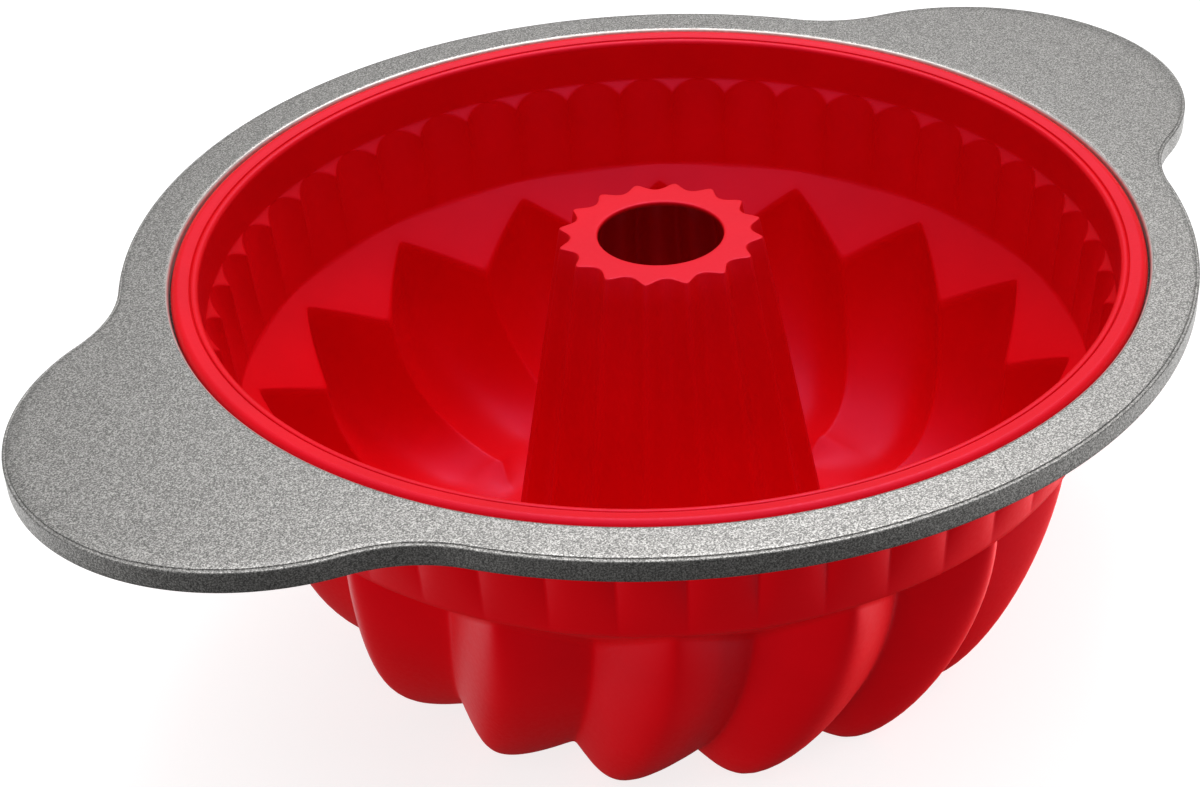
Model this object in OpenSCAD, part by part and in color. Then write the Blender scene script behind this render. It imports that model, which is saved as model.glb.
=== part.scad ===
// Bundt pan: a soft silicone mould with a fluted bowl and a hollow centre tube,
// hung in a flat pressed-steel frame whose two ends widen into handles.
// Z = 0 is the plane that the mould stands on; the handles point along +X and -X.

/* [Frame] */
// Radius of the round opening that holds the mould
opening_r = 115; // [112:0.1:125]
// Outer radius of the round part of the frame
frame_r = 126.25; // [124:0.05:136]
// Distance from the centre to the centre of each handle's round end
handle_x = 108.9; // [104:0.1:118]
// Radius of each handle's round end
handle_r = 54.9; // [48:0.1:58]
// Radius of the hollow curve between a handle and the ring
handle_blend_r = 34; // [20:1:40]
// Sheet thickness of the frame
sheet_t = 0.8; // [0.6:0.1:1.2]
// Depth of the edge that is turned down all round the frame
skirt_depth = 5.3; // [3:0.1:8]
// Depth of the step that carries the inner flange, under the lip of the mould
step_depth = 3.2; // [2.4:0.1:4]
// Inner radius of the flange that the silicone grips
flange_r = 111.4; // [110.6:0.1:113]

/* [Mould] */
// Height of the frame's top face above the table
plate_z = 103.7; // [96:0.1:110]
// Wall thickness of the silicone
wall_t = 1.4; // [1.2:0.1:2.6]
// How far the highest line of the lip stands above the frame
lip_rise = 0; // [-0.5:0.1:2]
// Gap between the lip and the wall of the frame's opening
lip_gap = 0.5; // [0.1:0.1:1.5]
// Inner radius of the mouth
mouth_r = 108.2; // [106:0.1:109]
// Number of small flutes in the upper band
small_flutes = 45; // [30:1:48]
// Number of big lobes in the bowl, and of flutes in the centre tube
lobes = 16; // [8:1:20]
// Angle from the handles' axis to the first big lobe
lobe_turn = 5.5; // [0:0.1:22.5]
// How far the lobes twist on the way down
lobe_twist = 8; // [0:0.5:12]

/* [Centre tube] */
// Radius of the tube over its ribs, at the top
tube_top_r = 24.5; // [22:0.1:28]
// Radius of the tube over its ribs, at the bottom of the bowl
tube_base_r = 42.4; // [38:0.1:46]
// Depth of the tube's flutes at the top
tube_flute = 2.9; // [1.5:0.1:4]
// Angle from the handles' axis to the middle of the first flute of the tube
tube_turn = 7.5; // [0:0.1:22.5]
// Radius of the hole in the tube's flat top
tube_hole_r = 15; // [10:0.1:18]

/* [Hidden] */
$fn = 96;
clearance = 0.05;
steel_colour = [0.56, 0.55, 0.54];
silicone_colour = [0.78, 0.02, 0.06];

// Angular samples of each zone of the mould, whole numbers per flute or lobe
band_n = small_flutes * 4;
bowl_n = lobes * 8;
tube_n = lobes * 6;

// Heights of the mould's inner surface, measured up from the table
lip_z = plate_z + lip_rise;
tube_top_z = plate_z + 0.3;
band_top_z = plate_z - 11.9;
band_end_z = plate_z - 36;
neck_z = plate_z - 9.2;

// Radii of the mould's inner surface in the fluted band
upper_wall_r = 108.1;
rib_top_r = 105.2;
rib_end_r = 103.6;

// Bowl: outer profile over a lobe (crest) and between two lobes (crease)
crest_top_r = 101.6;
crest_foot_r = 74;
crest_shape = 1.65;
crease_top_r = 89.6;
crease_top_z = plate_z - 49.2;
crease_foot_r = 65.5;
crease_foot_z = 5.2;
crease_shape = 1.95;
lobe_edge = 0.35;
foot_flat = 1.3;
rib_round = 0.22;
bowl_rows = 9;
foot_turn = -lobe_twist * pow(band_end_z / 57.5, 2.5);

// ---- profile helpers -------------------------------------------------------

function mix(a, b, k) = a + (b - a) * k;

// Quarter of a superellipse from [r0, z0], where it runs down, to [r1, z1], where it runs in
function round_corner(r0, z0, r1, z1, shape, k) =
    [r1 + (r0 - r1) * pow(cos(90 * k), 2 / shape), z0 - (z0 - z1) * pow(sin(90 * k), 2 / shape)];

// Position inside one repeat of a pattern: 0 in its middle, -1 and 1 at its ends
function repeat_pos(angle, count, start) =
    let (turn = (angle - start) * count / 360 + 0.5)
    2 * (turn - floor(turn)) - 1;

// Scalloped flute: 1 in the middle and 0 on the rib
function flute(u) = 1 - pow(abs(u), 2.3);

// Flute of the centre tube: the same kind of scallop, with a rounded rib
function soft_flute(u) =
    let (
        from_rib = sqrt(pow(1 - abs(u), 2) + rib_round * rib_round) - rib_round,
        full = sqrt(1 + rib_round * rib_round) - rib_round
    )
    1 - pow(1 - from_rib / full, 2.1);

// Softened zigzag: 1 on a lobe's crest and 0 in the crease
function zigzag(u, edge) = 1 - (sqrt(u * u + edge * edge) - edge) / (sqrt(1 + edge * edge) - edge);

// Twist of the bowl at a height, in degrees
function twist_at(z) = -lobe_twist * pow(max(0, (band_end_z - z) / 57.5), 2.5);

// ---- rings of points -------------------------------------------------------

function ring_point(p, angle) = [p[0] * cos(angle), p[0] * sin(angle), p[1]];

// Fluted band: "out" shifts the wall outwards, "depth" is the flutes' depth, "arch" their round top
function band_ring(rib_r, z, depth, arch, out) = [
    for (i = [0:band_n - 1])
        let (angle = i * 360 / band_n, f = flute(repeat_pos(angle, small_flutes, 180 / small_flutes)))
        ring_point([rib_r + out + depth * f, z - arch * (1 - f)], angle)
];

// Bowl: k runs from 0 at the top of the lobes to 1 at their feet, "inset" moves inside the wall.
// The lowest part of each lobe is cut flat at Z = 0.
function bowl_point(angle, k, inset) =
    let (
        crest = round_corner(crest_top_r, band_end_z - 2, crest_foot_r, 0, crest_shape, k),
        crease = round_corner(crease_top_r, crease_top_z, crease_foot_r, crease_foot_z, crease_shape, k),
        w = zigzag(repeat_pos(angle, lobes, lobe_turn), lobe_edge),
        p = mix(crease, crest, w)
    )
    [p[0] - inset * cos(75 * k), max(p[1] - foot_flat, 0) + inset * mix(0.35, 1, sin(90 * k))];

function bowl_ring(k, inset) = [
    for (i = [0:bowl_n - 1])
        let (
            angle = lobe_turn + i * 360 / bowl_n,
            p = bowl_point(angle, k, inset),
            turn = twist_at(p[1])
        )
        ring_point(p, angle + turn)
];

// A plain circle with the bowl's sampling
function foot_ring(r, z, turn) = [
    for (i = [0:bowl_n - 1]) ring_point([r, z], lobe_turn + turn + i * 360 / bowl_n)
];

// Centre tube: ribs reach "rib_r", flutes are cut "depth" into it
function tube_ring(rib_r, z, depth) = [
    for (i = [0:tube_n - 1])
        let (angle = tube_turn + i * 360 / tube_n, f = soft_flute(repeat_pos(angle, lobes, tube_turn)))
        ring_point([rib_r - depth * f, z], angle)
];

// ---- skinning --------------------------------------------------------------

// Number of points in all rings before ring k
function count_before(rings, k) = k == 0 ? 0 : count_before(rings, k - 1) + len(rings[k - 1]);

// Triangles between two rings whose numbers of points may differ
function stitch(a0, na, b0, nb) = concat(
    [for (i = [0:na - 1])
        let (j = ceil((i + 0.5) * nb / na - 0.5))
        [a0 + i, b0 + j % nb, a0 + (i + 1) % na]],
    [for (j = [0:nb - 1])
        let (i = floor((j + 0.5) * na / nb + 0.5))
        [b0 + j, b0 + (j + 1) % nb, a0 + i % na]]
);

// Closed skin through a loop of rings: the last ring joins the first one
module skin(rings) {
    starts = [for (k = [0:len(rings) - 1]) count_before(rings, k)];
    faces = [
        for (k = [0:len(rings) - 1])
            let (next = (k + 1) % len(rings))
            each stitch(starts[k], len(rings[k]), starts[next], len(rings[next]))
    ];
    polyhedron(points = [for (ring = rings) each ring], faces = faces, convexity = 12);
}

// ---- frame -----------------------------------------------------------------

// Plan outline of the frame, moved in by "inset"
module frame_outline(inset) {
    ring_r = frame_r - inset;
    end_r = handle_r - inset;
    blend_r = handle_blend_r + inset;
    // Centre of the hollow curve that touches both the ring and the handle's end
    blend_x = (pow(ring_r + blend_r, 2) - pow(end_r + blend_r, 2) + handle_x * handle_x) / (2 * handle_x);
    blend_y = sqrt(pow(ring_r + blend_r, 2) - blend_x * blend_x);
    on_ring = [blend_x, blend_y] * ring_r / (ring_r + blend_r);
    on_end = [handle_x, 0] + [blend_x - handle_x, blend_y] * end_r / (end_r + blend_r);
    circle(r = ring_r);
    for (side = [0, 180])
        rotate(side) {
            translate([handle_x, 0])
                circle(r = end_r);
            for (flip = [0, 1])
                mirror([0, flip])
                    difference() {
                        polygon([[handle_x * 0.8, 0], on_ring, [blend_x, blend_y], on_end, [handle_x, 0]]);
                        translate([blend_x, blend_y])
                            circle(r = blend_r);
                    }
        }
}

module handle_frame() {
    color(steel_colour) {
        difference() {
            translate([0, 0, plate_z - skirt_depth])
                linear_extrude(skirt_depth)
                    frame_outline(0);
            translate([0, 0, plate_z - skirt_depth - 1])
                linear_extrude(skirt_depth + 1 - sheet_t)
                    frame_outline(sheet_t);
            translate([0, 0, plate_z - skirt_depth - 1])
                cylinder(r = opening_r, h = skirt_depth + 2);
        }
        // Step down to the flange that lies inside the lip of the mould
        rotate_extrude()
            polygon([
                [opening_r, plate_z],
                [opening_r + sheet_t, plate_z],
                [opening_r + sheet_t, plate_z - step_depth - sheet_t],
                [flange_r, plate_z - step_depth - sheet_t],
                [flange_r, plate_z - step_depth],
                [opening_r, plate_z - step_depth]
            ]);
    }
}

// ---- mould -----------------------------------------------------------------

// Cross-section of the lip: a bead with a rounded outer side, a thin groove and a fine inner ridge,
// a slot for the frame's flange, and a thinner bead that closes it from below
module lip() {
    flange_top = plate_z - step_depth + clearance;
    flange_under = plate_z - step_depth - sheet_t - clearance;
    bead_r = opening_r - lip_gap;
    grip_r = opening_r - 0.8;
    rotate_extrude()
        polygon([
            [upper_wall_r, band_top_z + 0.2],
            [mouth_r, lip_z - 2.2],
            [mouth_r + 0.35, lip_z - 0.9],
            [mouth_r + 1.2, lip_z - 0.5],
            [mouth_r + 1.6, lip_z - 1],
            [mouth_r + 2.3, lip_z - 0.3],
            [bead_r - 1.8, lip_z],
            [bead_r - 0.5, lip_z - 0.55],
            [bead_r, lip_z - 1.8],
            [bead_r, flange_top],
            [flange_r - clearance, flange_top],
            [flange_r - clearance, flange_under],
            [grip_r, flange_under],
            [grip_r, flange_under - 1.6],
            [grip_r - 0.6, flange_under - 2.2],
            [upper_wall_r + wall_t + 0.4, flange_under - 2.4],
            [upper_wall_r + wall_t, flange_under - 3.4],
            [upper_wall_r + wall_t, band_top_z + 0.2]
        ]);
}

module shell() {
    inner_band = [
        band_ring(upper_wall_r + 0.5, neck_z, 0, 0, 0),
        band_ring(upper_wall_r, band_top_z, 0, 0, 0),
        band_ring(rib_top_r, band_top_z - 0.6, upper_wall_r - rib_top_r, 2.4, 0),
        band_ring(rib_end_r, band_end_z, 0, 0, 0)
    ];
    inner_bowl = [for (i = [0:bowl_rows]) bowl_ring(i / bowl_rows, wall_t)];
    inner_tube = [
        foot_ring(tube_base_r + 8, wall_t, foot_turn),
        tube_ring(tube_base_r, 8, 0.8),
        tube_ring(mix(tube_base_r, tube_top_r, 0.12), 15, tube_flute + 0.6),
        tube_ring(tube_top_r + 0.2, tube_top_z - 0.5, tube_flute),
        tube_ring(tube_top_r - 0.5, tube_top_z, tube_flute)
    ];
    outer_tube = [
        tube_ring(tube_top_r - 1.4, tube_top_z - wall_t, tube_flute),
        tube_ring(mix(tube_base_r, tube_top_r, 0.12) - wall_t, 13, tube_flute + 0.6),
        tube_ring(tube_base_r - wall_t, 4, 0.8),
        foot_ring(tube_base_r + 6, 0, foot_turn)
    ];
    outer_bowl = [for (i = [bowl_rows:-1:0]) bowl_ring(i / bowl_rows, 0)];
    outer_band = [
        band_ring(rib_end_r, band_end_z - 0.8, 0, 0, wall_t),
        band_ring(rib_top_r, band_top_z - 2, upper_wall_r - rib_top_r, 2.4, wall_t),
        band_ring(upper_wall_r, band_top_z - 0.4, 0, 0, wall_t - 0.1),
        band_ring(upper_wall_r, neck_z, 0, 0, wall_t - 0.4)
    ];
    rings = concat(inner_band, inner_bowl, inner_tube, [tube_ring(8, tube_top_z, 0)]);
    under = concat([tube_ring(8, tube_top_z - wall_t, 0)], outer_tube, outer_bowl, outer_band);
    skin(concat(rings, under));
}

module silicone_mould() {
    color(silicone_colour)
        difference() {
            union() {
                lip();
                shell();
            }
            translate([0, 0, tube_top_z - 20])
                cylinder(r = tube_hole_r, h = 40);
        }
}

handle_frame();
silicone_mould();
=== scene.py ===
"""Looks of the bundt pan: a red silicone mould hung in a grey coated steel frame.

Both pieces are skinned from formulas in millimetres and stand in for the CAD nodes silicone_mould and
handle_frame, which they hide.
"""

import math

import bpy
import numpy as np
from mathutils import Matrix, Vector


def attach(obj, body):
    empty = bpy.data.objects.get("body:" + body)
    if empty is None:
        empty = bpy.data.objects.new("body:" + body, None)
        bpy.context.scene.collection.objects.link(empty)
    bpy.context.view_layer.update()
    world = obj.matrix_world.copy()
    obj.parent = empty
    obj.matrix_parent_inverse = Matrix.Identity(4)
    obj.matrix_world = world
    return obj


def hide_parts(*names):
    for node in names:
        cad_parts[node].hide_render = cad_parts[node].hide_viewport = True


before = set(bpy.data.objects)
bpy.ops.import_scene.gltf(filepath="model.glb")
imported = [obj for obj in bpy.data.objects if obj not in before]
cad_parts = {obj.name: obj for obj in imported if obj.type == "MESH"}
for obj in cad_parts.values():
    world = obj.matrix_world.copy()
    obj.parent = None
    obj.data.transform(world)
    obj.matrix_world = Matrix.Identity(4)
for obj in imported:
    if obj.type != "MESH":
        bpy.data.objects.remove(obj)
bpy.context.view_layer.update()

MM = 0.001

# ---- sizes in millimetres --------------------------------------------------
# The main ones are the CAD part's. The wall is 0.1 mm thinner, and the fine details are only here.

# Steel frame
PLATE_Z = 103.7          # top face of the frame
OPENING_R = 115.0        # round opening that holds the mould
FRAME_R = 126.25         # round part of the outline
HANDLE_X = 108.9         # centre of each handle's round end
HANDLE_R = 54.9          # radius of that end
BLEND_R = 34.0           # hollow curve between handle and ring
SHEET_T = 0.8            # thickness of the sheet
SKIRT_DEPTH = 5.3        # height of the edge that is turned down all round
STEP_DEPTH = 3.2         # how far the inner flange lies below the plate
FLANGE_R = 111.4         # inner edge of that flange
EDGE_INSET = 0.8         # the fine step that runs round the plate's edge
EDGE_DROP = 0.3
SKIRT_BEND = 0.4         # outside radius of the skirt's bend
HOLE_BEND = 0.9          # outside radius of the bend at the opening

# Silicone mould
LIP_Z = PLATE_Z          # highest line of the lip
LIP_GAP = 0.5            # between the lip and the opening's wall
BEAD_SLOPE = 0.3         # the bead sinks by this much towards the mouth
MOUTH_R = 108.2          # the mould's opening
WALL_T = 1.3             # thickness of the silicone
SHOULDER_R = 1.8         # rounding of the bead's outer side
RIDGE_R = 1.15           # rounding of the mouth's edge
SMALL_FLUTES = 45        # in the band under the lip
LOBES = 16               # of the bowl, and as many flutes on the tube
LOBE_TURN = 5.5          # angle from the handles' axis to the first lobe
LOBE_TWIST = 8.0         # degrees from the band down to TWIST_DEPTH
TWIST_POWER = 2.4        # the twist sets in late and then grows fast
TWIST_DEPTH = 57.5
BAND_TOP_Z = PLATE_Z - 11.9
BAND_END_Z = PLATE_Z - 36.0
UPPER_WALL_R = 108.1     # plain wall above the band, and the middle of a flute at the band's top
RIB_TOP_R = 105.2        # ribs between the small flutes, at their top
RIB_END_R = 103.6        # and at the band's lower end
ARCH_DROP = 2.8          # from the top of a small flute's arch to its sides
FLUTE_POWER = 2.3        # shape of a small flute across its width
TUBE_TOP_Z = PLATE_Z + 0.3
TUBE_TOP_R = 24.5        # over the ribs, as is the radius at the base
TUBE_BASE_R = 42.4
TUBE_FLUTE = 2.9         # depth of the tube's flutes
RIB_ROUND = 0.22         # rounding of the tube's ribs, as a share of half a flute
TUBE_TURN = 7.5          # angle from the handles' axis to the middle of a flute of the tube
TUBE_HOLE_R = 15.0
FOOT_FLAT = 1.3          # height cut off the lobes' feet, so that the pan stands on small flats

COLUMNS = 1440           # samples round the mould: a whole number for each flute and half lobe


# ---- mesh helpers ----------------------------------------------------------

def skin_loop(name, rows):
    """A closed skin through a loop of closed rings that all have the same number of points."""
    count = rows[0].shape[0]
    points = np.concatenate(rows) * MM
    i = np.arange(len(rows))[:, None]
    j = np.arange(count)[None, :]
    next_i, next_j = (i + 1) % len(rows), (j + 1) % count
    quads = np.stack([i * count + j, i * count + next_j, next_i * count + next_j, next_i * count + j], -1)
    mesh = bpy.data.meshes.new(name)
    mesh.from_pydata(points.tolist(), [], quads.reshape(-1, 4).tolist())
    mesh.shade_smooth()
    piece = bpy.data.objects.new(name, mesh)
    bpy.context.scene.collection.objects.link(piece)
    return piece


def arc(centre_a, centre_b, radius, start, end, steps):
    """Points of an arc in the profile plane, angles in degrees."""
    angles = np.radians(np.linspace(start, end, steps + 1))
    return [(centre_a + radius * math.cos(a), centre_b + radius * math.sin(a)) for a in angles]


def mix(a, b, k):
    return a + (b - a) * k


# ---- steel frame -----------------------------------------------------------

def frame_outline(spacing):
    """Outline points and their outward normals: arcs of the ring, the handles and the hollow curves."""
    far = FRAME_R + BLEND_R
    blend_x = (far ** 2 - (HANDLE_R + BLEND_R) ** 2 + HANDLE_X ** 2) / (2 * HANDLE_X)
    blend_y = math.sqrt(far ** 2 - blend_x ** 2)
    ring_angle = math.degrees(math.atan2(blend_y, blend_x))
    end_angle = math.degrees(math.atan2(blend_y, blend_x - HANDLE_X))

    def sweep(cx, cy, radius, start, end, sign):
        steps = math.ceil(math.radians(abs(end - start)) * radius / spacing)
        a = np.radians(np.linspace(start, end, steps + 1)[:-1])
        normal = np.stack([np.cos(a), np.sin(a)], 1)
        return np.array([cx, cy]) + radius * normal, sign * normal

    arcs = [
        sweep(HANDLE_X, 0, HANDLE_R, 0, end_angle, 1),
        sweep(blend_x, blend_y, BLEND_R, end_angle + 180, ring_angle + 180, -1),
        sweep(0, 0, FRAME_R, ring_angle, 90, 1),
    ]
    points = np.concatenate([p for p, _ in arcs])
    normals = np.concatenate([n for _, n in arcs])
    top = np.array([[0.0, FRAME_R]])
    up = np.array([[0.0, 1.0]])
    flip_x, flip_y = np.array([-1, 1]), np.array([1, -1])
    left = (points[:0:-1] * flip_x, normals[:0:-1] * flip_x)
    half = np.concatenate([points, top, left[0], points[:1] * flip_x])
    half_n = np.concatenate([normals, up, left[1], normals[:1] * flip_x])
    low, low_n = half[-2:0:-1] * flip_y, half_n[-2:0:-1] * flip_y
    return np.concatenate([half, low]), np.concatenate([half_n, low_n])


def make_frame():
    edge, normal = frame_outline(1.0)
    polar = np.arctan2(edge[:, 1], edge[:, 0])
    inward = np.stack([np.cos(polar), np.sin(polar)], 1)
    under_z = PLATE_Z - SHEET_T
    flange_z = PLATE_Z - STEP_DEPTH
    skirt_z = PLATE_Z - SKIRT_DEPTH
    strip_z = PLATE_Z - EDGE_DROP

    def ring(r, z):
        return np.column_stack([inward * r, np.full(len(edge), z)])

    def rim(inset, z):
        return np.column_stack([edge - normal * inset, np.full(len(edge), z)])

    bend = arc(OPENING_R + HOLE_BEND, PLATE_Z - HOLE_BEND, HOLE_BEND, 180, 90, 7)
    rows = [ring(r, z) for r, z in bend]
    inner, outer = rows[-1], rim(EDGE_INSET + 0.25, PLATE_Z)
    rows += [mix(inner, outer, k) for k in np.linspace(0.04, 1, 12)]
    # Fine step round the plate, then the bend into the skirt
    rows += [rim(EDGE_INSET - d, z) for d, z in arc(-0.25, PLATE_Z - 0.15, 0.15, 60, 0, 3)]
    rows += [rim(EDGE_INSET + 0.08, strip_z + 0.06), rim(EDGE_INSET - 0.04, strip_z - 0.06)]
    rows += [rim(EDGE_INSET - 0.2, strip_z - 0.01), rim(EDGE_INSET - 0.36, strip_z)]
    rows += [rim(-d, z) for d, z in arc(-SKIRT_BEND, strip_z - SKIRT_BEND, SKIRT_BEND, 84, 0, 10)]
    rows += [rim(0, z) for z in np.linspace(strip_z - SKIRT_BEND - 0.4, skirt_z + 0.35, 4)]
    rows += [rim(-d, z) for d, z in arc(-SHEET_T / 2, skirt_z + 0.3, SHEET_T / 2 - 0.02, -20, -160, 5)]
    corner_z = strip_z - SHEET_T
    rows += [rim(SHEET_T, z) for z in np.linspace(skirt_z + 0.5, corner_z - 0.35, 4)]
    rows += [rim(SHEET_T + 0.1, corner_z - 0.1), rim(SHEET_T + 0.35, corner_z)]
    rows += [rim(EDGE_INSET + 0.5, corner_z)]
    # Underside, back to the step that carries the flange
    wall_r = OPENING_R + SHEET_T
    inner, outer = ring(wall_r + 0.5, under_z), rim(EDGE_INSET + 1.2, under_z)
    rows += [mix(outer, inner, k) for k in np.linspace(0, 1, 8)]
    rows += [ring(wall_r, under_z - 0.5), ring(wall_r, flange_z - SHEET_T + 0.5)]
    rows += [ring(r, z) for r, z in arc(wall_r - 0.5, flange_z - SHEET_T + 0.5, 0.5, -20, -90, 4)]
    rows += [ring(FLANGE_R + 0.3, flange_z - SHEET_T)]
    half_t = SHEET_T / 2
    rows += [ring(r, z) for r, z in arc(FLANGE_R + half_t, flange_z - half_t, half_t, -110, -250, 6)]
    rows += [ring(OPENING_R - 0.5, flange_z), ring(OPENING_R - 0.1, flange_z + 0.1)]
    rows += [ring(OPENING_R, flange_z + 0.5), ring(OPENING_R, PLATE_Z - HOLE_BEND - 0.4)]
    piece = skin_loop("steel_frame", rows)
    # From the opening's wall to near the top of its bend the steel gets a second, lighter and pinkish
    # material: a painted highlight and a painted reflection of the red mould
    bend_rows, wall_rows = 5, 2
    for polygon in piece.data.polygons:
        row = polygon.index // len(edge)
        polygon.material_index = int(row < bend_rows or row >= len(rows) - wall_rows)
    return piece


# ---- silicone mould --------------------------------------------------------

ANGLE = np.arange(COLUMNS) * 360.0 / COLUMNS


def repeat_pos(count, start):
    """Position of each column inside a repeated pattern: 0 in its middle, -1 and 1 at its ends."""
    turn = (ANGLE - start) * count / 360 + 0.5
    return 2 * (turn - np.floor(turn)) - 1


BAND_POS = np.abs(repeat_pos(SMALL_FLUTES, 180 / SMALL_FLUTES))
LOBE_POS = np.abs(repeat_pos(LOBES, LOBE_TURN))
TUBE_POS = np.abs(repeat_pos(LOBES, TUBE_TURN))


def flute(pos):
    """Scalloped flute: 1 in the middle and 0 on the rib."""
    return 1 - pos ** FLUTE_POWER


def tube_flute(pos):
    """Scalloped flute of the centre tube, with a rounded rib."""
    soft = RIB_ROUND
    from_rib = (np.sqrt((1 - pos) ** 2 + soft ** 2) - soft) / (math.sqrt(1 + soft ** 2) - soft)
    return 1 - (1 - from_rib) ** 2.1


def zigzag(pos, edge, crease=0.05):
    """Zigzag with a rounded crest, where it is 1, and a slightly rounded crease, where it is 0."""
    crest = (np.sqrt(pos ** 2 + edge ** 2) - edge) / (math.sqrt(1 + edge ** 2) - edge)
    return np.sqrt((1 - crest) ** 2 + crease ** 2) - crease


def twist_at(z):
    """Turn of the lobes at a height, in degrees: none down to the end of the band."""
    depth = np.maximum(0, (BAND_END_Z - z) / TWIST_DEPTH)
    return -LOBE_TWIST * depth ** TWIST_POWER


def ring(r, z, turn=0.0):
    """One ring of the mould from radii, heights and turns that may differ from column to column."""
    a = np.radians(ANGLE + turn)
    r = np.broadcast_to(r, ANGLE.shape)
    return np.column_stack([r * np.cos(a), r * np.sin(a), np.broadcast_to(z, ANGLE.shape)])


def superellipse(top, foot, shape, k):
    """Quarter curve from top, where it runs down, to foot, where it runs inwards."""
    (r0, z0), (r1, z1) = top, foot
    a = math.radians(90 * k)
    return r1 + (r0 - r1) * math.cos(a) ** (2 / shape), z0 - (z0 - z1) * math.sin(a) ** (2 / shape)


def lip_inside():
    """From the bead's outer side over the bead, the groove and the fine ridge into the mouth."""
    bead_r, bead_z = OPENING_R - LIP_GAP, LIP_Z - SHOULDER_R
    profile = arc(bead_r - SHOULDER_R, bead_z, SHOULDER_R, 0, 90, 12)
    inner_r, inner_z = MOUTH_R + 2.5, LIP_Z - BEAD_SLOPE
    for k in (0.2, 0.5, 0.85, 1):
        profile.append((mix(bead_r - SHOULDER_R, inner_r, k), mix(LIP_Z, inner_z, k)))
    profile += arc(inner_r - 0.2, inner_z - 0.3, 0.3, 90, 165, 4)
    profile += [(MOUTH_R + 1.85, inner_z - 0.72), (MOUTH_R + 1.6, inner_z - 0.7)]
    profile += arc(MOUTH_R + RIDGE_R, inner_z - 0.15 - RIDGE_R, RIDGE_R, 62, 180, 10)
    profile += [(MOUTH_R, inner_z - 2.4), (MOUTH_R - 0.05, inner_z - 4.5)]
    profile += [(UPPER_WALL_R + 0.05, inner_z - 8.5)]
    return [ring(r, z) for r, z in profile]


def inner_band():
    """Plain wall, arched tops of the small flutes, the flutes, and the end of their ribs."""
    f = flute(BAND_POS)
    top_z = BAND_TOP_Z + 0.25
    arch_r = mix(RIB_TOP_R, UPPER_WALL_R, f)
    arch_z = BAND_TOP_Z - ARCH_DROP * (1 - f)
    rows = [ring(UPPER_WALL_R, top_z + 0.5), ring(UPPER_WALL_R - 0.02, top_z)]
    for k in (0.12, 0.5, 0.88):
        rows.append(ring(mix(UPPER_WALL_R - 0.04, arch_r, k), mix(top_z - 0.1, arch_z + 0.08, k)))
    for k in (0.0, 0.02, 0.1, 0.25, 0.4, 0.55, 0.7, 0.85, 0.97):
        rows.append(ring(mix(arch_r, RIB_END_R, k), mix(arch_z - 0.1, BAND_END_Z, k)))
    return rows


# Radius and height at the ends of the bowl's curves. Inside: over a flute and over a rib between two
FLUTE_TOP = (100.7, PLATE_Z - 39.4)
RIB_TOP = (88.6, PLATE_Z - 51.9)
FLUTE_FOOT = (66.0, 6.0)
RIB_FOOT = (62.0, 10.0)
# Outside: over a lobe and over the crease between two
LOBE_TOP = (101.6, BAND_END_Z - 2)
LOBE_FOOT = (74.0, 0.0)
CREASE_TOP = (90.0, PLATE_Z - 49.2)
CREASE_FOOT = (65.5, 5.2)
BOWL_ROWS = 22


def inner_bowl():
    """Sloping shelf with a star-shaped edge, then the twisted flutes down to the bottom of the trough."""
    star = zigzag(LOBE_POS, 0.03)
    edge_r, edge_z = mix(RIB_TOP[0], FLUTE_TOP[0], star), mix(RIB_TOP[1], FLUTE_TOP[1], star)
    rows = []
    for k in (0.0, 0.05, 0.35, 0.65, 0.93):
        r, z = mix(RIB_END_R, edge_r, k), mix(BAND_END_Z - 0.15, edge_z + 0.1, k)
        rows.append(ring(r, z, twist_at(edge_z) * k))
    for i in range(BOWL_ROWS + 1):
        k = (i / BOWL_ROWS) ** 1.15
        crest = superellipse(FLUTE_TOP, FLUTE_FOOT, 2.0, k)
        rib = superellipse(RIB_TOP, RIB_FOOT, 2.2, k)
        w = zigzag(LOBE_POS, mix(0.03, 0.5, min(1, 2.5 * k)))
        r, z = mix(rib[0], crest[0], w), mix(rib[1], crest[1], w)
        rows.append(ring(r, z, twist_at(z)))
    return rows


def tube_rows(shift, top_z, base_z, steps):
    """Fluted side of the centre tube from base_z up to top_z, moved inwards by shift."""
    f = tube_flute(TUBE_POS)
    rows = []
    for i in range(steps + 1):
        k = i / steps
        z = mix(base_z, top_z, k)
        rib_r = mix(TUBE_BASE_R, TUBE_TOP_R, (z - base_z) / (TUBE_TOP_Z - base_z)) - shift
        depth = TUBE_FLUTE * min(1, 0.25 + 3 * k)
        rows.append(ring(rib_r - depth * f, z))
    return rows


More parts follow.
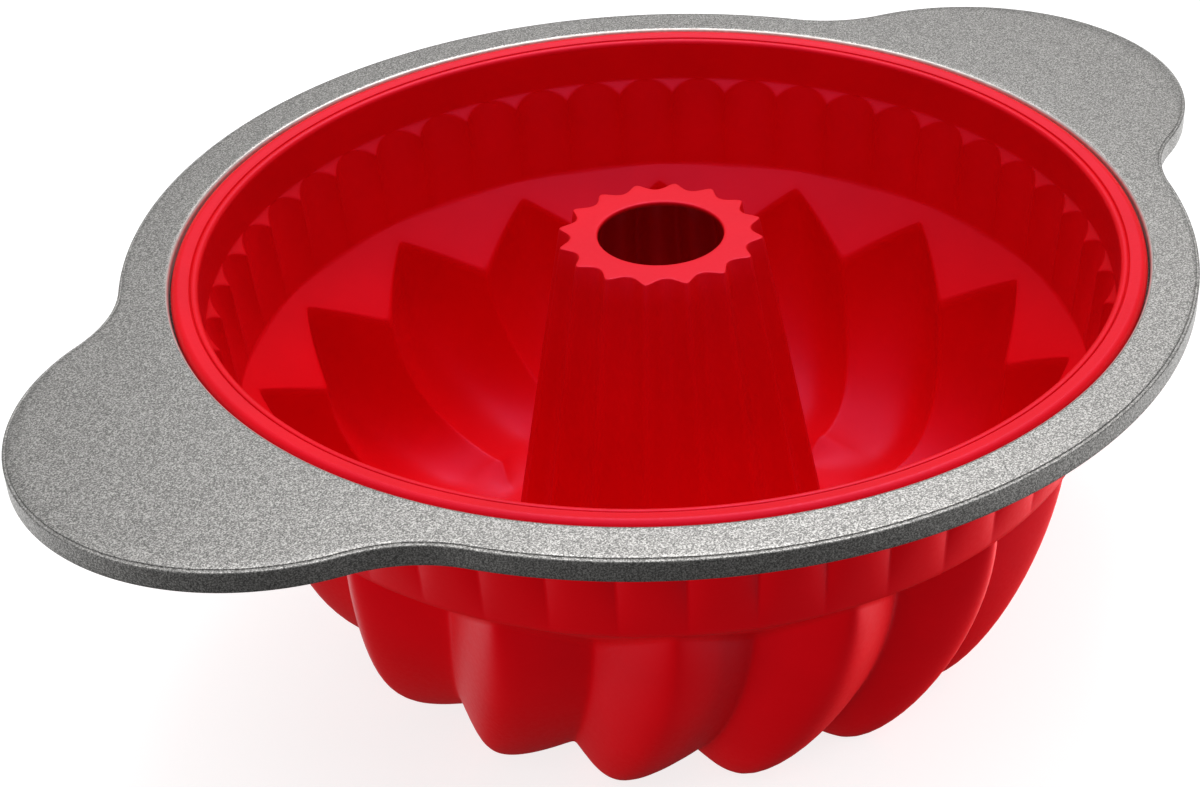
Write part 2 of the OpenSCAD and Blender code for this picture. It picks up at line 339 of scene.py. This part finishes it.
def make_mould():
    """One loop: down the inside, up the tube, through its hole, down inside it and up the outside."""
    rows = lip_inside() + inner_band() + inner_bowl()
    foot_turn = float(twist_at(FLUTE_FOOT[1]))
    # Bottom of the trough, where the lobes' turn fades out towards the tube
    for k in (0.25, 0.55, 0.8):
        rows.append(ring(mix(64.0, TUBE_BASE_R + 3, k), mix(5.6, 5.0, k), foot_turn * (1 - k)))
    rows += tube_rows(0, TUBE_TOP_Z - 0.4, 7.0, 16)
    f = tube_flute(TUBE_POS)
    for r, z in arc(-0.35, -0.35, 0.35, 10, 90, 4):
        rows.append(ring(TUBE_TOP_R + r - TUBE_FLUTE * f, TUBE_TOP_Z + z))
    for k in (0.1, 0.5, 0.9):
        rows.append(ring(mix(TUBE_TOP_R - 0.4 - TUBE_FLUTE * f, TUBE_HOLE_R + 0.5, k), TUBE_TOP_Z))
    for r, z in arc(TUBE_HOLE_R + 0.5, TUBE_TOP_Z - 0.5, 0.5, 90, 180, 4):
        rows.append(ring(r, z))
    rows += [ring(TUBE_HOLE_R, TUBE_TOP_Z - WALL_T + 0.3), ring(TUBE_HOLE_R + 0.3, TUBE_TOP_Z - WALL_T)]
    rows.append(ring(TUBE_TOP_R - WALL_T - 0.6 - TUBE_FLUTE * f, TUBE_TOP_Z - WALL_T))
    rows += tube_rows(WALL_T, TUBE_TOP_Z - WALL_T - 0.6, 4.0, 12)[::-1]
    rows += [ring(TUBE_BASE_R + 2, 1.0, foot_turn * 0.2), ring(TUBE_BASE_R + 6, 0.2, foot_turn * 0.5)]
    rows += outer_bowl() + outer_band() + lower_lip()
    return skin_loop("silicone_cake_mould", rows)


def outer_bowl():
    """Outside of the lobes, from their flat feet up to the underside of the band."""
    rows = []
    for i in range(BOWL_ROWS, -1, -1):
        k = (i / BOWL_ROWS) ** 1.1
        crest = superellipse(LOBE_TOP, LOBE_FOOT, 1.65, k)
        crease = superellipse(CREASE_TOP, CREASE_FOOT, 1.95, k)
        w = zigzag(LOBE_POS, mix(0.06, 0.46, min(1, 1.3 * k)))
        r, z = mix(crease[0], crest[0], w), mix(crease[1], crest[1], w)
        rows.append(ring(r, np.maximum(z - FOOT_FLAT, 0), twist_at(z)))
    return rows


def outer_band():
    """Sloping underside of the band, then the band with the small flutes as bumps."""
    f = flute(BAND_POS)
    rows = [ring(RIB_END_R + WALL_T - 0.25, BAND_END_Z - 0.95), ring(RIB_END_R + WALL_T, BAND_END_Z - 0.7)]
    arch_r = mix(RIB_TOP_R, UPPER_WALL_R, f) + WALL_T
    arch_z = BAND_TOP_Z - 0.6 - ARCH_DROP * (1 - f)
    for k in (0.95, 0.75, 0.5, 0.25, 0.08, 0.0):
        rows.append(ring(mix(arch_r, RIB_END_R + WALL_T, k), mix(arch_z, BAND_END_Z - 0.7, k)))
    rows.append(ring(mix(arch_r, UPPER_WALL_R + WALL_T, 0.6), mix(arch_z, BAND_TOP_Z - 0.3, 0.6)))
    rows.append(ring(UPPER_WALL_R + WALL_T, BAND_TOP_Z))
    return rows


def lower_lip():
    """Lower bead, the slot round the frame's flange, and the bead's side above it."""
    under = PLATE_Z - STEP_DEPTH - SHEET_T - 0.05
    over = PLATE_Z - STEP_DEPTH + 0.05
    grip_r = OPENING_R - 0.8
    profile = [(UPPER_WALL_R + WALL_T, under - 3.4), (UPPER_WALL_R + WALL_T + 0.4, under - 2.6)]
    profile += [(grip_r - 1.2, under - 2.4)]
    profile += arc(grip_r - 0.8, under - 1.6, 0.8, -90, 0, 5)
    profile += [(grip_r, under - 0.3), (grip_r - 0.2, under)]
    profile += [(FLANGE_R + 0.2, under), (FLANGE_R - 0.05, under + 0.1)]
    profile += [(FLANGE_R - 0.05, over - 0.1), (FLANGE_R + 0.2, over)]
    profile += [(OPENING_R - LIP_GAP - 0.3, over), (OPENING_R - LIP_GAP, over + 0.3)]
    return [ring(r, z) for r, z in profile]


# ---- materials -------------------------------------------------------------

def new_material(name):
    material = bpy.data.materials.new(name)
    material.use_nodes = True
    nodes, links = material.node_tree.nodes, material.node_tree.links
    return material, nodes, links, nodes["Principled BSDF"]


def node(nodes, kind, **inputs):
    """New node with its inputs set; an underscore stands for a space in an input's name."""
    made = nodes.new(kind)
    for key, value in inputs.items():
        made.inputs[key.replace("_", " ")].default_value = value
    return made


def ramp(nodes, stops):
    """Colour ramp from pairs of place and colour."""
    made = nodes.new("ShaderNodeValToRGB")
    made.color_ramp.elements[0].position, made.color_ramp.elements[0].color = stops[0]
    made.color_ramp.elements[1].position, made.color_ramp.elements[1].color = stops[-1]
    for place, colour in stops[1:-1]:
        made.color_ramp.elements.new(place).color = colour
    return made


def grey_ramp(nodes, stops):
    """Ramp of plain greys from pairs of place and level."""
    return ramp(nodes, [(place, (level, level, level, 1)) for place, level in stops])


def silicone_material():
    """Satin red silicone: slightly uneven colour and gloss, and a fine moulded skin."""
    material, nodes, links, shader = new_material("red_silicone")
    place = nodes.new("ShaderNodeTexCoord")
    cloud = node(nodes, "ShaderNodeTexNoise", Scale=38.0, Detail=3.0)
    links.new(place.outputs["Object"], cloud.inputs["Vector"])
    colour = ramp(nodes, [(0.3, (0.64, 0.0004, 0.002, 1)), (0.7, (0.70, 0.0006, 0.003, 1))])
    links.new(cloud.outputs["Fac"], colour.inputs["Fac"])
    links.new(colour.outputs["Color"], shader.inputs["Base Color"])
    fine = node(nodes, "ShaderNodeTexNoise", Scale=900.0, Detail=4.0)
    links.new(place.outputs["Object"], fine.inputs["Vector"])
    rough = grey_ramp(nodes, [(0.3, 0.40), (0.7, 0.50)])
    links.new(fine.outputs["Fac"], rough.inputs["Fac"])
    links.new(rough.outputs["Color"], shader.inputs["Roughness"])
    bump = node(nodes, "ShaderNodeBump", Strength=0.12, Distance=0.0002)
    links.new(fine.outputs["Fac"], bump.inputs["Height"])
    links.new(bump.outputs["Normal"], shader.inputs["Normal"])
    shader.inputs["Specular IOR Level"].default_value = 0.25
    shader.inputs["Specular Tint"].default_value = (1.0, 0.34, 0.90, 1.0)
    return material


def steel_material():
    """Grey coated steel with a fine metallic grain of light and dark specks."""
    material, nodes, links, shader = new_material("coated_steel")
    place = nodes.new("ShaderNodeTexCoord")
    grain = node(nodes, "ShaderNodeTexNoise", Scale=2800.0, Detail=2.0, Roughness=0.7)
    links.new(place.outputs["Object"], grain.inputs["Vector"])
    colour = ramp(
        nodes,
        [
            (0.36, (0.11, 0.108, 0.104, 1)),
            (0.50, (0.24, 0.235, 0.228, 1)),
            (0.64, (0.48, 0.47, 0.455, 1)),
        ],
    )
    links.new(grain.outputs["Fac"], colour.inputs["Fac"])
    links.new(colour.outputs["Color"], shader.inputs["Base Color"])
    rough = grey_ramp(nodes, [(0.3, 0.52), (0.7, 0.40)])
    links.new(grain.outputs["Fac"], rough.inputs["Fac"])
    links.new(rough.outputs["Color"], shader.inputs["Roughness"])
    bump = node(nodes, "ShaderNodeBump", Strength=0.25, Distance=0.0002)
    links.new(grain.outputs["Fac"], bump.inputs["Height"])
    links.new(bump.outputs["Normal"], shader.inputs["Normal"])
    shader.inputs["Metallic"].default_value = 0.85
    return material


def painted_highlight_edge_material():
    """Steel of the opening's edge, lighter and pinkish as a painted highlight and painted reflection of
    the red mould, with fine marks along it.
    """
    material, nodes, links, shader = new_material("edge_steel_with_painted_highlight")
    place = nodes.new("ShaderNodeTexCoord")
    marks = node(nodes, "ShaderNodeTexNoise", Scale=700.0, Detail=2.0)
    links.new(place.outputs["Object"], marks.inputs["Vector"])
    # Light, pinkish steel colour: painted highlight and painted reflection of the red mould
    colour = ramp(nodes, [(0.3, (0.62, 0.52, 0.50, 1)), (0.7, (0.76, 0.66, 0.64, 1))])
    links.new(marks.outputs["Fac"], colour.inputs["Fac"])
    links.new(colour.outputs["Color"], shader.inputs["Base Color"])
    shader.inputs["Metallic"].default_value = 0.6
    shader.inputs["Roughness"].default_value = 0.35
    return material


# ---- camera, light and floor -----------------------------------------------

# The camera was fitted to the photo, and the fit was better with a shift than without one. Place in
# millimetres, angles in degrees
CAMERA_PLACE = (-300.1, -365.7, 372.7)
CAMERA_HEADING = 48.43
CAMERA_DROP = 33.93
CAMERA_ROLL = -1.15


def make_camera():
    """Camera that looks down at the pan from the photo's side, tilted slightly as in the photo."""
    data = bpy.data.cameras.new("camera")
    data.sensor_width = 36.0
    data.lens = 68.5
    data.shift_x = -0.117
    data.shift_y = 0.0081
    camera = bpy.data.objects.new("camera", data)
    bpy.context.scene.collection.objects.link(camera)
    heading, drop = math.radians(CAMERA_HEADING), math.radians(CAMERA_DROP)
    level = math.cos(drop)
    forward = Vector((math.cos(heading) * level, math.sin(heading) * level, -math.sin(drop)))
    aim = forward.to_track_quat("-Z", "Y").to_matrix().to_4x4()
    tilt = Matrix.Rotation(math.radians(CAMERA_ROLL), 4, "Z")
    camera.matrix_world = Matrix.Translation(Vector(CAMERA_PLACE) * MM) @ aim @ tilt
    bpy.context.scene.camera = camera


def area_light(name, place, target, size, power, mirrored=True):
    """Rectangular light that faces the target; mirrored says whether the pan's gloss shows it."""
    data = bpy.data.lights.new(name, "AREA")
    data.shape = "RECTANGLE"
    data.size, data.size_y = size
    data.energy = power
    light = bpy.data.objects.new(name, data)
    light.location = place
    light.visible_glossy = mirrored
    light.rotation_euler = (Vector(target) - Vector(place)).to_track_quat("-Z", "Y").to_euler()
    bpy.context.scene.collection.objects.link(light)


# The Mix node names several sockets alike, so its colour sockets are taken by number
MIX_A, MIX_B, MIX_RESULT = 6, 7, 2


def share_of(nodes, links, value, low, high):
    """Turn a value between low and high into 0 to 1."""
    share = node(nodes, "ShaderNodeMapRange", From_Min=low, From_Max=high)
    links.new(value, share.inputs["Value"])
    return share.outputs["Result"]


def colour_mix(nodes, links, share):
    """Mix node for two colours."""
    made = nodes.new("ShaderNodeMix")
    made.data_type = "RGBA"
    links.new(share, made.inputs["Factor"])
    return made


def make_world():
    """Soft light from all round, which differs above and below the horizon."""
    world = bpy.data.worlds.new("studio")
    bpy.context.scene.world = world
    world.use_nodes = True
    nodes, links = world.node_tree.nodes, world.node_tree.links
    place = nodes.new("ShaderNodeTexCoord")
    split = nodes.new("ShaderNodeSeparateXYZ")
    links.new(place.outputs["Generated"], split.inputs["Vector"])
    height = split.outputs["Z"]
    above = grey_ramp(nodes, [(0.50, 0.42), (0.53, 0.42), (0.57, 0.27)])
    links.new(share_of(nodes, links, height, -1.0, 1.0), above.inputs["Fac"])
    # Light from below stands for a pale table's: bright behind and beside the pan, dim in front
    aside = nodes.new("ShaderNodeVectorMath")
    aside.operation = "DOT_PRODUCT"
    aside.inputs[1].default_value = (0.64, 0.77, 0)
    links.new(place.outputs["Generated"], aside.inputs[0])
    below = grey_ramp(nodes, [(0.10, 0.07), (0.24, 0.36), (0.42, 1.0), (0.70, 1.8)])
    links.new(share_of(nodes, links, aside.outputs["Value"], -1.0, 1.0), below.inputs["Fac"])
    join = colour_mix(nodes, links, share_of(nodes, links, height, -0.02, 0.02))
    links.new(below.outputs["Color"], join.inputs[MIX_A])
    links.new(above.outputs["Color"], join.inputs[MIX_B])
    # Steeply below the horizon it is dark
    deep = colour_mix(nodes, links, share_of(nodes, links, height, -0.75, -0.50))
    deep.inputs[MIX_A].default_value = (0.08, 0.08, 0.08, 1)
    links.new(join.outputs[MIX_RESULT], deep.inputs[MIX_B])
    links.new(deep.outputs[MIX_RESULT], nodes["Background"].inputs["Color"])


def make_lights():
    """A broad sun overhead, a panel behind on the right, and three low strips."""
    sun = bpy.data.lights.new("overhead", "SUN")
    sun.energy = 2.2
    sun.angle = math.radians(76)
    overhead = bpy.data.objects.new("overhead", sun)
    from_where = Vector((0.06, 0.04, 1.0))
    overhead.rotation_euler = (-from_where).to_track_quat("-Z", "Y").to_euler()
    bpy.context.scene.collection.objects.link(overhead)
    area_light("back_right", (0.56, 0.50, 1.20), (0, 0, 0.1), (0.6, 0.5), 8.0)
    # The strips light the outside only: they stand below the level of the frame
    strip_z, strip_height = 0.05, 0.1
    strips = [
        ("left", -1.05, -0.15, 0.9, 4.0),
        ("right", 1.0, -0.35, 0.9, 20.0),
        ("front", -0.7, -0.85, 0.8, 1.0),
    ]
    for name, x, y, length, power in strips:
        place, target = (x, y, strip_z), (0, 0, strip_z)
        area_light(name, place, target, (length, strip_height), power, mirrored=False)


def make_floor():
    """Plain pale floor at the height the pan stands on."""
    mesh = bpy.data.meshes.new("floor")
    reach = 40.0
    corners = [(-reach, -reach, 0), (reach, -reach, 0), (reach, reach, 0), (-reach, reach, 0)]
    mesh.from_pydata(corners, [], [(0, 1, 2, 3)])
    floor = bpy.data.objects.new("floor", mesh)
    bpy.context.scene.collection.objects.link(floor)
    material, nodes, links, shader = new_material("pale_floor")
    place = nodes.new("ShaderNodeTexCoord")
    soft = node(nodes, "ShaderNodeTexNoise", Scale=2.0)
    links.new(place.outputs["Object"], soft.inputs["Vector"])
    tone = grey_ramp(nodes, [(0.3, 0.30), (0.7, 0.33)])
    links.new(soft.outputs["Fac"], tone.inputs["Fac"])
    links.new(tone.outputs["Color"], shader.inputs["Base Color"])
    shader.inputs["Roughness"].default_value = 0.9
    shader.inputs["Emission Color"].default_value = (1, 1, 1, 1)
    shader.inputs["Emission Strength"].default_value = 0.8
    floor.data.materials.append(material)
    # The floor is only a backdrop: what the object reflects comes from the lights and the world
    floor.visible_diffuse = False
    floor.visible_glossy = False


# ---- assembly --------------------------------------------------------------

mould = make_mould()
mould.data.materials.append(silicone_material())
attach(mould, "root")
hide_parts("silicone_mould")

steel = make_frame()
steel.data.materials.append(steel_material())
# Second slot: the edge steel with its painted highlight and painted reflection of the red mould
steel.data.materials.append(painted_highlight_edge_material())
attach(steel, "root")
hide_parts("handle_frame")

make_camera()
make_world()
make_lights()
make_floor()
bpy.context.scene.view_settings.view_transform = "Standard"
